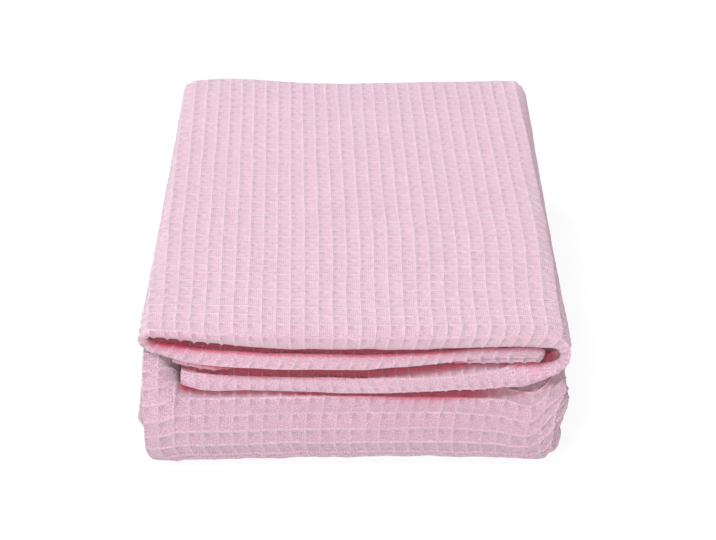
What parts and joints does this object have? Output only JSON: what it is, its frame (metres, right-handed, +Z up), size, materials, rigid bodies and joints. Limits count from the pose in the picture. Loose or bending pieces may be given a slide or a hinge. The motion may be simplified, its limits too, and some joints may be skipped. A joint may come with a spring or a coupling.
{
  "type": "folded waffle throw",
  "caption": "Soft cotton throw in a waffle weave, folded both ways into a neat stack that lies on a bed, sofa or shelf.",
  "frame": {"origin": "on the surface that the stack rests on, under the middle of it", "axes": "+Z up, -Y towards the front with the rolled folds, +X to the right as seen from the front"},
  "size_m": [0.3332, 0.4612, 0.1161],
  "materials": {
    "waffle_cotton": "matt pale pink cotton with a raised square waffle weave"
  },
  "bodies": {
    "root": {"folded_throw": "waffle_cotton"}
  },
  "joints": []
}
